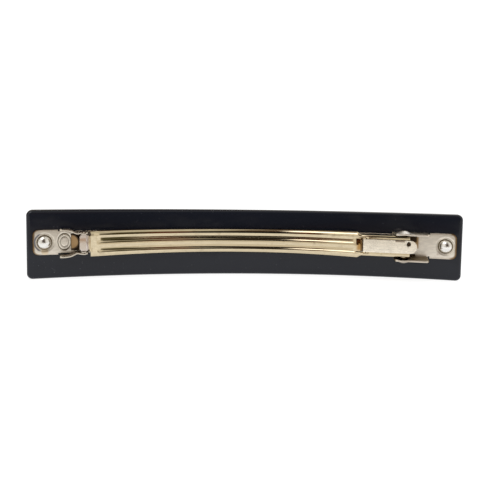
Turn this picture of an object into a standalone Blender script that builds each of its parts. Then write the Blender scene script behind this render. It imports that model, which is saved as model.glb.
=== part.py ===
"""A bar barrette with a spring clasp.

A bowed acetate bar carries a pressed-steel clasp on its hollow side. The clasp is a base
plate riveted to the bar, a fluted arm hinged between two ears at one end, a pair of
squeeze prongs that catch the arm's tongue at the other end, and a leaf spring inside the arm.

Every piece is laid out flat first: x runs along the bar, -y stands off its back, z is up.
bow() then wraps the layout round the bar's curve. The bar stands on its lower long edge,
and the origin is the middle of that edge.
"""
import math

import bmesh
import bpy
from mathutils import Vector

MM = 0.001

# The acetate bar
BACK_RADIUS = 160.0 * MM        # curve of the hollow back face
BAR_HALF_ARC = 50.85 * MM       # from the middle to an end, along the back face
BAR_HEIGHT = 15.7 * MM
BAR_THICKNESS = 3.5 * MM
BAR_EDGE_RADIUS = 0.9 * MM
BAR_CORNER_RADIUS = 1.3 * MM    # at the four corners of its outline
BAR_BEND_STEPS = 37             # an odd count, so a flat facet lies at the middle

# The clasp's base plate
CLASP_HEIGHT = 8.45 * MM        # centre line of the clasp above the lower edge
SEAT_GAP = 0.06 * MM            # air between the plate and the bar
PLATE_THICKNESS = 0.55 * MM
PLATE_TOP = SEAT_GAP + PLATE_THICKNESS
PLATE_HALF_WIDTH = 3.0 * MM
PLATE_HALF_LENGTH = 49.45 * MM
PLATE_CORNER = 1.2 * MM
NOTCH_STATIONS = (-43.9 * MM, 43.3 * MM)
NOTCH_WIDTH = 0.4 * MM
NOTCH_DEPTH = 0.5 * MM
WAIST_START = -43.8 * MM        # between the pads the plate is narrower than the arm
WAIST_END = 34.9 * MM
WAIST_HALF_WIDTH = 2.55 * MM
CUT_STEP = 2.65 * MM             # the longest straight piece of a cutter

# The rivets
RIVET_STATION = 47.0 * MM
RIVET_HEAD_RADIUS = 1.55 * MM
RIVET_HEAD_HEIGHT = 1.05 * MM
RIVET_SHANK_RADIUS = 0.8 * MM
RIVET_DEPTH = 2.3 * MM          # how far the shank goes into the bar
RIVET_SEAT = PLATE_TOP + 0.03 * MM
RIVET_CLEARANCE = 0.06 * MM
RIVET_SEGMENTS = 20
RIVET_DOME_STEPS = 5

# The hinge: domes pressed in the arm's flanges turn in domes pressed in the ears
PIVOT_STATION = 37.2 * MM
PIVOT_STAND_OFF = 3.3 * MM
EAR_START = 35.1 * MM
EAR_END = 43.0 * MM
EAR_TOP = 5.0 * MM
EAR_OUTSIDE = 3.04 * MM
EAR_THICKNESS = 0.45 * MM
EAR_CORNER = 0.8 * MM
EAR_ROOT = SEAT_GAP + 0.2 * MM  # the ear starts inside the plate
EAR_DOME_TOP = 0.25 * MM        # radius of the dome's flat top
EAR_DOME_RADIUS = 2.1 * MM
EAR_DOME_HEIGHT = 0.62 * MM
LOWER_EAR_FLARE = 0.4 * MM      # the lower ear leans out by this much at its free edge
BOSS_RADIUS = 1.1 * MM
BOSS_HEIGHT = {1: 0.62 * MM, -1: 0.82 * MM}   # the lower one reaches the ear that leans out
BOSS_ROOT = 0.2 * MM            # how far a boss starts inside the flange
BOSS_SEGMENTS = 20
BOSS_DOME_STEPS = 5

# The arm
ARM_START = -36.95 * MM
ARM_SHOULDER = 26.2 * MM
ARM_NECK = 27.4 * MM
ARM_END = 38.5 * MM
ARM_HALF_WIDTH = 2.9 * MM       # at the arm's lowest point
ARM_END_WIDENING = 0.1 * MM
ARM_NECK_HALF_WIDTH = 2.45 * MM
ARM_SHEET = 0.35 * MM
ARM_LOW_STATION = -5.4 * MM     # where the arm comes nearest to the plate
ARM_LOW_TOP = 1.85 * MM         # stand-off of the rib crests there
ARM_END_RISE = 2.45 * MM        # extra stand-off at the shoulder and at the catch
ARM_NECK_EASING = 2.5 * MM      # how fast the neck's climb levels off
ARM_FLANGE = 1.15 * MM
ARM_HINGE_FLANGE = 3.3 * MM
ARM_HINGE_BLEND = 1.5 * MM      # past the neck, the flanges have their full depth
ARM_BEND = 1.05 * MM            # the wide round shoulders of the fluted part
ARM_NECK_BEND = 0.42 * MM
ARM_TOP_SHARE = 0.6             # shares of the section's steps, from the middle outwards
ARM_BEND_SHARE = 0.86
GROOVE_SPACING = 2.12 * MM
GROOVE_HALF_WIDTH = 0.57 * MM
GROOVE_EDGE = 0.3 * MM
GROOVE_DEPTH = 0.22 * MM
GROOVE_START = -35.4 * MM
GROOVE_FADE = 1.2 * MM
WINDOW_START = 27.1 * MM
WINDOW_END = 27.75 * MM
WINDOW_HALF_WIDTH = 1.7 * MM

# The tongue at the arm's catch end
TONGUE_TIP = -39.4 * MM
TONGUE_TOP = 2.92 * MM
TONGUE_SHEET = 0.33 * MM
TONGUE_NECK_HALF_WIDTH = 1.84 * MM
TONGUE_WING_HALF_WIDTH = 2.02 * MM
TONGUE_TIP_HALF_WIDTH = 1.47 * MM
TONGUE_ROOT = ARM_START + 0.4 * MM
TONGUE_SINK = 0.01 * MM         # keeps the tongue's root just under the arm's face
TONGUE_STEP_START = -37.8 * MM
TONGUE_STEP_END = -36.85 * MM
TONGUE_WING_START = -37.75 * MM
TONGUE_WING_FULL = -38.05 * MM
TONGUE_TAPER_START = -38.85 * MM

# The squeeze prongs
PRONG_PIVOT = -40.0 * MM
PRONG_FOOT = PLATE_TOP + 0.1 * MM
PRONG_TOP = 3.3 * MM
PRONG_WALL = 0.4 * MM
PRONG_CORNER = 0.35 * MM        # how far the free edge dips at its two ends
PRONG_CORNER_POWER = 12         # how suddenly it dips
PRONG_PIVOT_HEIGHT = 2.2 * MM
LIP_START = -39.0 * MM
LIP_END = -37.9 * MM
LIP_OUTSIDE = 2.25 * MM         # inside the wall, which it is joined to
LIP_INSIDE = 1.9 * MM
LIP_HEIGHT = 0.3 * MM

# The ejector leaf lanced from the base plate between the prongs
LEAF_START = -41.3 * MM
LEAF_TIP = -39.6 * MM
LEAF_RISE = 0.9 * MM
LEAF_HALF_WIDTH = 1.8 * MM
LEAF_TAPER = 0.85               # how much of its width the leaf's round tip loses, squared
LEAF_SINK = 0.05 * MM           # the leaf's root lies this far inside the plate
LEAF_THICKNESS = 0.35 * MM

# The leaf spring: a hidden strip under the arm and a tail that lies over the hinge
SPRING_THICKNESS = 0.22 * MM
SPRING_HALF_WIDTH = 1.5 * MM
SPRING_START = -33.0 * MM
SPRING_END = 27.0 * MM
SPRING_DROP = 0.93 * MM         # from the rib crests down to the strip's near face
SPRING_TAPER = 0.4              # how much of its width the strip loses at its tip
SPRING_TAPER_SHARE = 0.04       # share of its length in which it does
TAIL_START = 27.7 * MM
TAIL_END = 40.1 * MM
TAIL_HALF_WIDTH = 1.52 * MM
TAIL_THICKNESS = 0.3 * MM
TAIL_LIFT = 0.06 * MM
TAIL_TIP_HALF_WIDTH = 0.3 * MM
TAIL_BUNCHING = 0.6             # draws the tail's stations together at its round end
SPRING_PIVOT_STAND_OFF = 3.3 * MM
TAIL_OFFSET = -0.12 * MM        # the tail sits a little below the clasp's centre line


def clear_scene():
    """Remove what is in the scene, so the script can be run again."""
    for thing in list(bpy.data.objects):
        bpy.data.objects.remove(thing, do_unlink=True)


def flat(station, stand_off, height=0.0):
    """A point of the flat layout; height is measured from the clasp's centre line."""
    return Vector((station, -stand_off, CLASP_HEIGHT + height))


def bow(point):
    """Wrap a point of the flat layout round the bar's curve."""
    angle = point.x / BACK_RADIUS
    reach = BACK_RADIUS + point.y
    depth = reach * math.cos(angle) - BACK_RADIUS - BAR_THICKNESS / 2
    return Vector((reach * math.sin(angle), depth, point.z))


def smooth_step(value, start, end):
    """0 before start, 1 after end, and an even S curve between them."""
    share = min(max((value - start) / (end - start), 0.0), 1.0)
    return share * share * (3.0 - 2.0 * share)


def blend(first, second, share):
    """A value between first and second."""
    return first + (second - first) * share


def make_material(name, colour, roughness, metallic):
    """A Principled material for one piece."""
    material = bpy.data.materials.new(name)
    material.use_nodes = True
    shader = material.node_tree.nodes["Principled BSDF"]
    shader.inputs["Base Color"].default_value = (*colour, 1.0)
    shader.inputs["Roughness"].default_value = roughness
    shader.inputs["Metallic"].default_value = metallic
    return material


def add_object(name, mesh_data, material=None, origin=Vector()):
    """Put a bmesh in the scene as an object whose origin is at the given point."""
    bmesh.ops.recalc_face_normals(mesh_data, faces=mesh_data.faces[:])
    bmesh.ops.translate(mesh_data, verts=mesh_data.verts[:], vec=-origin)
    mesh = bpy.data.meshes.new(name)
    mesh_data.to_mesh(mesh)
    mesh_data.free()
    mesh.shade_smooth()
    mesh.set_sharp_from_angle(angle=math.radians(35.0))
    thing = bpy.data.objects.new(name, mesh)
    thing.location = origin
    bpy.context.scene.collection.objects.link(thing)
    if material:
        mesh.materials.append(material)
    return thing


def combine(body, guide, operation):
    """Join a guide shape to a body, or cut it away, and keep the guide out of the model."""
    guide.hide_render = True
    guide.display_type = "WIRE"
    boolean = body.modifiers.new(guide.name, "BOOLEAN")
    boolean.operation = operation
    boolean.object = guide


def slab(place, steps_along, steps_across):
    """A closed sheet: place(u, v, side) gives its near face at side 0 and its far face at 1."""
    mesh_data = bmesh.new()
    sides = []
    for side in (0, 1):
        rows = []
        for i in range(steps_along + 1):
            u = i / steps_along
            row = [mesh_data.verts.new(place(u, j / steps_across, side))
                   for j in range(steps_across + 1)]
            rows.append(row)
        sides.append(rows)
    near, far = sides
    for i in range(steps_along):
        for j in range(steps_across):
            mesh_data.faces.new((near[i][j], near[i + 1][j], near[i + 1][j + 1], near[i][j + 1]))
            mesh_data.faces.new((far[i][j + 1], far[i + 1][j + 1], far[i + 1][j], far[i][j]))
    for i in range(steps_along):
        for j in (0, steps_across):
            mesh_data.faces.new((near[i][j], near[i + 1][j], far[i + 1][j], far[i][j]))
    for j in range(steps_across):
        for i in (0, steps_along):
            mesh_data.faces.new((near[i][j], near[i][j + 1], far[i][j + 1], far[i][j]))
    return mesh_data


def sheet(surface, thickness, steps_along, steps_across):
    """A bowed sheet of even depth behind surface(u, v), which gives flat layout points."""

    def place(u, v, side):
        point = surface(u, v)
        point.y += thickness * side
        return bow(point)

    return slab(place, steps_along, steps_across)


def turned(profile, segments):
    """A solid turned about the -y axis; profile lists (radius, stand-off) from pole to pole."""
    mesh_data = bmesh.new()
    first = mesh_data.verts.new((0.0, -profile[0][1], 0.0))
    last = mesh_data.verts.new((0.0, -profile[-1][1], 0.0))
    rings = []
    for radius, stand_off in profile[1:-1]:
        ring = []
        for k in range(segments):
            turn = 2.0 * math.pi * k / segments
            corner = (radius * math.cos(turn), -stand_off, radius * math.sin(turn))
            ring.append(mesh_data.verts.new(corner))
        rings.append(ring)
    for k in range(segments):
        after = (k + 1) % segments
        mesh_data.faces.new((first, rings[0][k], rings[0][after]))
        mesh_data.faces.new((last, rings[-1][after], rings[-1][k]))
        for upper, lower in zip(rings, rings[1:]):
            mesh_data.faces.new((upper[k], lower[k], lower[after], upper[after]))
    return mesh_data


def slice_along(mesh_data, start, end, steps):
    """Cut a flat shape across at even stations, so that it can bend."""
    for i in range(1, steps):
        station = blend(start, end, i / steps)
        geometry = mesh_data.verts[:] + mesh_data.edges[:] + mesh_data.faces[:]
        bmesh.ops.bisect_plane(mesh_data, geom=geometry, plane_co=(station, 0.0, 0.0),
                               plane_no=(1.0, 0.0, 0.0))


def bow_mesh(mesh_data):
    """Wrap a whole flat shape round the bar's curve."""
    for vertex in mesh_data.verts:
        vertex.co = bow(vertex.co)


def flat_box(low, high):
    """A box between two corners of the flat layout."""
    mesh_data = bmesh.new()
    bmesh.ops.create_cube(mesh_data, size=1.0)
    bmesh.ops.scale(mesh_data, vec=high - low, verts=mesh_data.verts[:])
    bmesh.ops.translate(mesh_data, vec=(high + low) / 2, verts=mesh_data.verts[:])
    return mesh_data


def place_at(thing, station):
    """Stand a turned piece on the bar's back at a station of the clasp's centre line."""
    thing.location = bow(flat(station, 0.0))
    thing.rotation_euler = (0.0, 0.0, -station / BACK_RADIUS)


# ---------------------------------------------------------------- the bar and its rivets

def rivet_profile():
    """The rivet from the top of its domed head to the end of its shank."""
    profile = [(0.0, RIVET_SEAT + RIVET_HEAD_HEIGHT)]
    for i in range(1, RIVET_DOME_STEPS + 1):
        turn = math.pi / 2 * i / RIVET_DOME_STEPS
        height = RIVET_SEAT + RIVET_HEAD_HEIGHT * math.cos(turn)
        profile.append((RIVET_HEAD_RADIUS * math.sin(turn), height))
    profile += [(RIVET_SHANK_RADIUS, RIVET_SEAT), (RIVET_SHANK_RADIUS, -RIVET_DEPTH),
                (0.0, -RIVET_DEPTH)]
    return profile


def make_rivet(name, station, material):
    """A dome-headed rivet sunk in the bar's back."""
    rivet = add_object(name, turned(rivet_profile(), RIVET_SEGMENTS), material)
    place_at(rivet, station)
    return rivet


def make_rivet_hole(name, station):
    """The cutter for a rivet's hole through the plate and into the bar."""
    radius = RIVET_SHANK_RADIUS + RIVET_CLEARANCE
    depth = RIVET_DEPTH + RIVET_CLEARANCE
    profile = [(0.0, PLATE_TOP + MM), (radius, PLATE_TOP + MM), (radius, -depth), (0.0, -depth)]
    hole = add_object(name, turned(profile, RIVET_SEGMENTS))
    place_at(hole, station)
    return hole


def lies_in_face(edge):
    """True for an edge that lies in the bar's back or in its show side."""
    first, second = edge.verts
    return abs(first.co.y - second.co.y) < BAR_THICKNESS / 2


def make_bar(holes):
    """The bowed acetate bar, with its edges rounded and a blind hole for each rivet."""
    low = Vector((-BAR_HALF_ARC, 0.0, 0.0))
    high = Vector((BAR_HALF_ARC, BAR_THICKNESS, BAR_HEIGHT))
    mesh_data = flat_box(low, high)
    corners = [edge for edge in mesh_data.edges if not lies_in_face(edge)]
    bmesh.ops.bevel(mesh_data, geom=corners, offset=BAR_CORNER_RADIUS, segments=4,
                    profile=0.5, affect="EDGES")
    rims = [edge for edge in mesh_data.edges if lies_in_face(edge)]
    bmesh.ops.bevel(mesh_data, geom=rims, offset=BAR_EDGE_RADIUS, segments=3,
                    profile=0.5, affect="EDGES")
    slice_along(mesh_data, -BAR_HALF_ARC, BAR_HALF_ARC, BAR_BEND_STEPS)
    bow_mesh(mesh_data)
    material = make_material("black_acetate", (0.012, 0.012, 0.014), 0.12, 0.0)
    bar = add_object("acetate_bar", mesh_data, material)
    for hole in holes:
        combine(bar, hole, "DIFFERENCE")
    return bar


# ---------------------------------------------------------------- the base plate

def plate_outline():
    """The plate's outline in the flat layout: a long strip with rounded corners."""
    corner_steps = 5
    centre_x = PLATE_HALF_LENGTH - PLATE_CORNER
    centre_z = PLATE_HALF_WIDTH - PLATE_CORNER
    outline = []
    for quarter, (side_x, side_z) in enumerate(((1, 1), (-1, 1), (-1, -1), (1, -1))):
        for i in range(corner_steps + 1):
            turn = math.pi / 2 * (quarter + i / corner_steps)
            station = side_x * centre_x + PLATE_CORNER * math.cos(turn)
            height = side_z * centre_z + PLATE_CORNER * math.sin(turn)
            outline.append((station, height))
    return outline


def ear_surface(side):
    """The outer face of a hinge ear, with the dome that its pivot turns in."""

    def surface(u, v):
        station = blend(EAR_START, EAR_END, u)
        from_end = min(station - EAR_START, EAR_END - station)
        shortfall = max(EAR_CORNER - from_end, 0.0)
        top = EAR_TOP - EAR_CORNER + math.sqrt(max(EAR_CORNER ** 2 - shortfall ** 2, 0.0))
        stand_off = blend(EAR_ROOT, top, v)
        reach = math.hypot(station - PIVOT_STATION, stand_off - PIVOT_STAND_OFF)
        dome = EAR_DOME_HEIGHT * (1.0 - smooth_step(reach, EAR_DOME_TOP, EAR_DOME_RADIUS))
        lean = LOWER_EAR_FLARE * stand_off / EAR_TOP if side < 0 else 0.0
        return flat(station, stand_off, side * (EAR_OUTSIDE + dome + lean))

    return surface


def make_ear(name, side):
    """One hinge ear, folded up from the plate's edge."""
    surface = ear_surface(side)

    def place(u, v, inner):
        point = surface(u, v)
        point.z -= side * EAR_THICKNESS * inner
        return bow(point)

    return add_object(name, slab(place, 18, 9))


def make_leaf():
    """The ejector leaf that lifts the arm's tongue when the prongs let go."""

    def place(u, v, side):
        station = blend(LEAF_START, LEAF_TIP, u)
        width = LEAF_HALF_WIDTH * math.sqrt(1.0 - LEAF_TAPER * u * u)
        stand_off = PLATE_TOP - LEAF_SINK + LEAF_RISE * u - LEAF_THICKNESS * side
        return bow(flat(station, stand_off, width * (2.0 * v - 1.0)))

    return add_object("leaf_shape", slab(place, 8, 2))


def make_side_cut(name, start, end, half_width, side):
    """The cutter that leaves the plate this narrow on one side, between two stations."""
    heights = sorted((side * half_width, side * (PLATE_HALF_WIDTH + MM)))
    low = flat(start, PLATE_TOP + MM, heights[0])
    high = flat(end, -MM, heights[1])
    mesh_data = flat_box(low, high)
    slice_along(mesh_data, start, end, math.ceil((end - start) / CUT_STEP))
    bow_mesh(mesh_data)
    return add_object(name, mesh_data)


def make_side_cuts():
    """The waist between the pads, and the relief notches where the folds start."""
    cuts = []
    for side, edge in ((1, "upper"), (-1, "lower")):
        cuts.append(make_side_cut(edge + "_waist_shape", WAIST_START, WAIST_END,
                                  WAIST_HALF_WIDTH, side))
        for end, station in zip(("left", "right"), NOTCH_STATIONS):
            half = NOTCH_WIDTH / 2
            name = "%s_%s_notch_shape" % (edge, end)
            cuts.append(make_side_cut(name, station - half, station + half,
                                      PLATE_HALF_WIDTH - NOTCH_DEPTH, side))
    return cuts


def make_base_plate(holes):
    """The plate under the whole clasp, with its hinge ears and ejector leaf."""
    mesh_data = bmesh.new()
    corners = [mesh_data.verts.new(flat(x, SEAT_GAP, z)) for x, z in plate_outline()]
    face = mesh_data.faces.new(corners)
    grown = bmesh.ops.extrude_face_region(mesh_data, geom=[face])
    raised = [item for item in grown["geom"] if isinstance(item, bmesh.types.BMVert)]
    bmesh.ops.translate(mesh_data, verts=raised, vec=(0.0, -PLATE_THICKNESS, 0.0))
    slice_along(mesh_data, -PLATE_HALF_LENGTH, PLATE_HALF_LENGTH, BAR_BEND_STEPS)
    bow_mesh(mesh_data)
    material = make_material("nickelled_steel", (0.62, 0.58, 0.51), 0.32, 1.0)
    plate = add_object("base_plate", mesh_data, material)
    for cutter in make_side_cuts() + holes:
        combine(plate, cutter, "DIFFERENCE")
    combine(plate, make_ear("upper_ear_shape", 1), "UNION")
    combine(plate, make_ear("lower_ear_shape", -1), "UNION")
    combine(plate, make_leaf(), "UNION")
    return plate


# ---------------------------------------------------------------- the squeeze prongs

PRONG_WAVE = (                  # (station, distance of the wall from the centre line)
    (-43.7 * MM, 2.98 * MM),
    (-42.4 * MM, 2.96 * MM),
    (-41.2 * MM, 2.76 * MM),
    (-40.0 * MM, 2.20 * MM),
    (-39.2 * MM, 2.30 * MM),
    (-38.5 * MM, 2.38 * MM),
    (-37.9 * MM, 2.30 * MM),
    (-37.4 * MM, 2.12 * MM),
)


def wave(u):
    """A point of the prong's wall line, on a smooth curve through PRONG_WAVE."""
    spans = len(PRONG_WAVE) - 1
    span = min(max(int(u * spans), 0), spans - 1)
    t = u * spans - span
    around = [PRONG_WAVE[min(max(span + k, 0), spans)] for k in (-1, 0, 1, 2)]
    weights = (-t ** 3 + 2 * t ** 2 - t, 3 * t ** 3 - 5 * t ** 2 + 2,
               -3 * t ** 3 + 4 * t ** 2 + t, t ** 3 - t ** 2)
    station = sum(w * p[0] for w, p in zip(weights, around)) / 2
    distance = sum(w * p[1] for w, p in zip(weights, around)) / 2
    return station, distance


def make_prong(name, side, material):
    """One springy wall: squeezing its flared end swings its catching end outwards."""
    step = 1e-3
    pivot = bow(flat(PRONG_PIVOT, PRONG_FOOT, side * PRONG_PIVOT_HEIGHT))

    def place(u, v, inner):
        station, distance = wave(u)
        before, after = wave(max(u - step, 0.0)), wave(min(u + step, 1.0))
        slope = Vector((after[0] - before[0], after[1] - before[1])).normalized()
        offset = PRONG_WALL * (0.5 - inner)
        corner = PRONG_CORNER * abs(2.0 * u - 1.0) ** PRONG_CORNER_POWER
        stand_off = blend(PRONG_FOOT, PRONG_TOP - corner, v)
        return bow(flat(station - slope.y * offset, stand_off,
                        side * (distance + slope.x * offset)))

    prong = add_object(name, slab(place, 28, 1), material, pivot)
    ends = sorted((side * LIP_OUTSIDE, side * LIP_INSIDE))
    low = flat(LIP_START, PRONG_TOP, ends[0])
    high = flat(LIP_END, PRONG_TOP - LIP_HEIGHT, ends[1])
    lip = flat_box(low, high)
    bow_mesh(lip)
    combine(prong, add_object(name + "_lip_shape", lip), "UNION")
    return prong


# ---------------------------------------------------------------- the arm

def bow_share(station):
    """0 at the arm's lowest point, and 1 at the shoulder."""
    return ((station - ARM_LOW_STATION) / (ARM_SHOULDER - ARM_LOW_STATION)) ** 2


def arm_top(station):
    """Stand-off of the rib crests: the fluted part is bowed, and the neck levels off."""
    if station <= ARM_SHOULDER:
        return ARM_LOW_TOP + ARM_END_RISE * bow_share(station)
    slope = 2.0 * ARM_END_RISE / (ARM_SHOULDER - ARM_LOW_STATION)
    climb = ARM_NECK_EASING * (1.0 - math.exp((ARM_SHOULDER - station) / ARM_NECK_EASING))
    return ARM_LOW_TOP + ARM_END_RISE + slope * climb


def groove_share(station):
    """1 along the fluted part of the arm, and 0 beyond its ends."""
    start = smooth_step(station, GROOVE_START - GROOVE_FADE / 2, GROOVE_START + GROOVE_FADE / 2)
    end = smooth_step(station, ARM_SHOULDER - GROOVE_FADE, ARM_SHOULDER)
    return start * (1.0 - end)


def groove_drop(height):
    """How far the fluting sinks below the crests at a height from the centre line."""
    from_groove = abs(abs(height) - GROOVE_SPACING / 2)
    wall = smooth_step(from_groove, GROOVE_HALF_WIDTH - GROOVE_EDGE,
                       GROOVE_HALF_WIDTH + GROOVE_EDGE)
    return GROOVE_DEPTH * (1.0 - wall)


def arm_section(station, v, side):
    """(height, drop below the crests) round the channel section, as v goes from 0 to 1.

    Side 0 is the outer face of the sheet and side 1 the inner one.
    """
    narrowing = smooth_step(station, ARM_SHOULDER, ARM_NECK)
    broad = ARM_HALF_WIDTH + ARM_END_WIDENING * min(bow_share(station), 1.0)
    half_width = blend(broad, ARM_NECK_HALF_WIDTH, narrowing)
    hinge = smooth_step(station, ARM_SHOULDER, ARM_NECK + ARM_HINGE_BLEND)
    flange = blend(ARM_FLANGE, ARM_HINGE_FLANGE, hinge)
    outer_bend = blend(ARM_BEND, ARM_NECK_BEND, narrowing)
    half_top = half_width - outer_bend
    inset = ARM_SHEET * side
    bend = outer_bend - inset
    share = abs(2.0 * v - 1.0)
    if share <= ARM_TOP_SHARE:
        height = half_top * share / ARM_TOP_SHARE
        drop = inset
    elif share <= ARM_BEND_SHARE:
        turn = math.pi / 2 * (share - ARM_TOP_SHARE) / (ARM_BEND_SHARE - ARM_TOP_SHARE)
        height = half_top + bend * math.sin(turn)
        drop = outer_bend - bend * math.cos(turn)
    else:
        height = half_width - inset
        drop = blend(outer_bend, flange, (share - ARM_BEND_SHARE) / (1.0 - ARM_BEND_SHARE))
    drop += groove_drop(height) * groove_share(station)
    return math.copysign(height, v - 0.5), drop


def arm_station(u):
    """Stations bunch up at the shoulder and at the flutes' ends, where the shape changes."""
    knots = ((0.0, ARM_START), (0.12, GROOVE_START + GROOVE_FADE / 2),
             (0.6, ARM_SHOULDER - GROOVE_FADE), (0.76, ARM_NECK), (1.0, ARM_END))
    for (u_low, low), (u_high, high) in zip(knots, knots[1:]):
        if u <= u_high or u_high == 1.0:
            return blend(low, high, (u - u_low) / (u_high - u_low))


def tongue_width(station):
    """Half-width of the tongue: a neck, then wings that the prongs catch, then a tapered tip."""
    wing = smooth_step(-station, -TONGUE_WING_START, -TONGUE_WING_FULL)
    tip = smooth_step(-station, -TONGUE_TAPER_START, -TONGUE_TIP)
    width = blend(TONGUE_NECK_HALF_WIDTH, TONGUE_WING_HALF_WIDTH, wing)
    return blend(width, TONGUE_TIP_HALF_WIDTH, tip)


def make_tongue():
    """The stepped tongue at the arm's catch end."""

    def surface(u, v):
        station = blend(TONGUE_TIP, TONGUE_ROOT, u)
        step_down = 1.0 - smooth_step(station, TONGUE_STEP_START, TONGUE_STEP_END)
        stand_off = blend(arm_top(TONGUE_ROOT) - TONGUE_SINK, TONGUE_TOP, step_down)
        return flat(station, stand_off, tongue_width(station) * (2.0 * v - 1.0))

    return add_object("tongue_shape", sheet(surface, TONGUE_SHEET, 18, 2))


def make_boss(name, side, pivot):
    """A dome on the arm's flange that turns in the ear's dome."""
    inside = ARM_NECK_HALF_WIDTH - BOSS_ROOT
    rise = BOSS_HEIGHT[side]
    sphere_radius = (BOSS_RADIUS ** 2 + rise ** 2) / (2.0 * rise)
    widest = math.asin(BOSS_RADIUS / sphere_radius)
    profile = [(0.0, inside), (BOSS_RADIUS, inside)]
    for i in range(BOSS_DOME_STEPS + 1):
        turn = widest * (1.0 - i / BOSS_DOME_STEPS)
        height = ARM_NECK_HALF_WIDTH + rise - sphere_radius * (1.0 - math.cos(turn))
        profile.append((sphere_radius * math.sin(turn), height))
    boss = add_object(name, turned(profile, BOSS_SEGMENTS))
    boss.rotation_euler = (-side * math.pi / 2, 0.0, 0.0)
    boss.location = Vector((pivot.x, pivot.y, CLASP_HEIGHT))
    return boss


def make_window():
    """The cutter for the slot that the leaf spring comes up through."""
    high_point = arm_top(WINDOW_END) + MM
    low = flat(WINDOW_START, high_point, -WINDOW_HALF_WIDTH)
    high = flat(WINDOW_END, arm_top(WINDOW_START) - ARM_FLANGE, WINDOW_HALF_WIDTH)
    mesh_data = flat_box(low, high)
    bow_mesh(mesh_data)
    return add_object("window_shape", mesh_data)


def make_arm(pivot, material):
    """The fluted arm with its tongue, its hinge bosses and its spring window."""

    def place(u, v, side):
        station = arm_station(u)
        height, drop = arm_section(station, v, side)
        return bow(flat(station, arm_top(station) - drop, height))

    arm = add_object("clasp_arm", slab(place, 36, 42), material, pivot)
    combine(arm, make_tongue(), "UNION")
    combine(arm, make_boss("upper_boss_shape", 1, pivot), "UNION")
    combine(arm, make_boss("lower_boss_shape", -1, pivot), "UNION")
    combine(arm, make_window(), "DIFFERENCE")
    return arm


# ---------------------------------------------------------------- the leaf spring

def make_tension_spring(pivot, material):
    """The strip inside the arm that presses on the hair."""

    def surface(u, v):
        station = blend(SPRING_START, SPRING_END, u)
        taper = 1.0 - SPRING_TAPER * (1.0 - smooth_step(u, 0.0, SPRING_TAPER_SHARE))
        height = SPRING_HALF_WIDTH * taper * (2.0 * v - 1.0)
        return flat(station, arm_top(station) - SPRING_DROP, height)

    mesh_data = sheet(surface, SPRING_THICKNESS, 40, 2)
    return add_object("tension_spring", mesh_data, material, pivot)


def tail_half_width(station):
    """Half-width of the tail: straight sides and a round end."""
    from_end = TAIL_END - station
    if from_end >= TAIL_HALF_WIDTH:
        return TAIL_HALF_WIDTH
    fallen = TAIL_HALF_WIDTH - from_end
    return math.sqrt(max(TAIL_HALF_WIDTH ** 2 - fallen ** 2, TAIL_TIP_HALF_WIDTH ** 2))


def make_spring_tail(pivot, material):
    """The spring's tail, which lies on the arm's neck and reaches past the hinge as a stop."""

    def surface(u, v):
        bunched = u * (1.0 + TAIL_BUNCHING * (1.0 - u))
        station = blend(TAIL_START, TAIL_END, bunched)
        stand_off = arm_top(station) + TAIL_LIFT + TAIL_THICKNESS
        height = TAIL_OFFSET + tail_half_width(station) * (2.0 * v - 1.0)
        return flat(station, stand_off, height)

    mesh_data = sheet(surface, TAIL_THICKNESS, 24, 2)
    return add_object("spring_tail", mesh_data, material, pivot)


def make_clasp_arm_group():
    """The arm, the spring's strip and the spring's tail."""
    pivot = bow(flat(PIVOT_STATION, PIVOT_STAND_OFF))
    spring_pivot = bow(flat(SPRING_END, SPRING_PIVOT_STAND_OFF))
    steel = make_material("gilt_steel", (0.78, 0.66, 0.45), 0.22, 1.0)
    bright = make_material("bright_spring_steel", (0.80, 0.74, 0.62), 0.25, 1.0)
    make_arm(pivot, steel)
    make_spring_tail(pivot, bright)
    make_tension_spring(spring_pivot, bright)


def main():
    """Build the barrette."""
    clear_scene()
    ends = (("left", -RIVET_STATION), ("right", RIVET_STATION))
    holes = [make_rivet_hole(end + "_hole_shape", station) for end, station in ends]
    make_bar(holes)
    make_base_plate(holes)
    chrome = make_material("polished_nickel", (0.75, 0.73, 0.70), 0.12, 1.0)
    for end, station in ends:
        make_rivet(end + "_rivet", station, chrome)
    prong_steel = make_material("spring_steel", (0.62, 0.57, 0.48), 0.28, 1.0)
    make_prong("upper_catch_prong", 1, prong_steel)
    make_prong("lower_catch_prong", -1, prong_steel)
    make_clasp_arm_group()


main()
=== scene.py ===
"""The looks of a bar barrette: a bowed black acetate bar and its gilt spring clasp.

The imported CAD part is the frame. Each visible piece is a finer mesh that stands for one CAD
node and rides on that node's body. Pieces are laid out flat first (x along the bar, -y off
its back, z up), and bow() wraps the layout round the bar's curve.
"""

import math

import bmesh
import bpy
from mathutils import Matrix, Vector


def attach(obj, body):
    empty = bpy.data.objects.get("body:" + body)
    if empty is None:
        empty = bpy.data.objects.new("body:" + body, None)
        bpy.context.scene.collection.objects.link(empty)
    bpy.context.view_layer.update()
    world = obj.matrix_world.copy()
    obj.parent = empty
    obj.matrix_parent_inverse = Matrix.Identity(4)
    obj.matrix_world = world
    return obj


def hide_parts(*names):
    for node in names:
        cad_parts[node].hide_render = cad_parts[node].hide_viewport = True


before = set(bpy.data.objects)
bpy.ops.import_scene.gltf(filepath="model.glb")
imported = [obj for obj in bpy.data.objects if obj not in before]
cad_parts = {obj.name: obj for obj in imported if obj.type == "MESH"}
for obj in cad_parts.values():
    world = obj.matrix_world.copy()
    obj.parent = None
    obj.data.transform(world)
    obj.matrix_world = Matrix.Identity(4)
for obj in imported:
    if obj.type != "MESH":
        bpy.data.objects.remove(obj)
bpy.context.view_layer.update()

MM = 0.001

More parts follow.
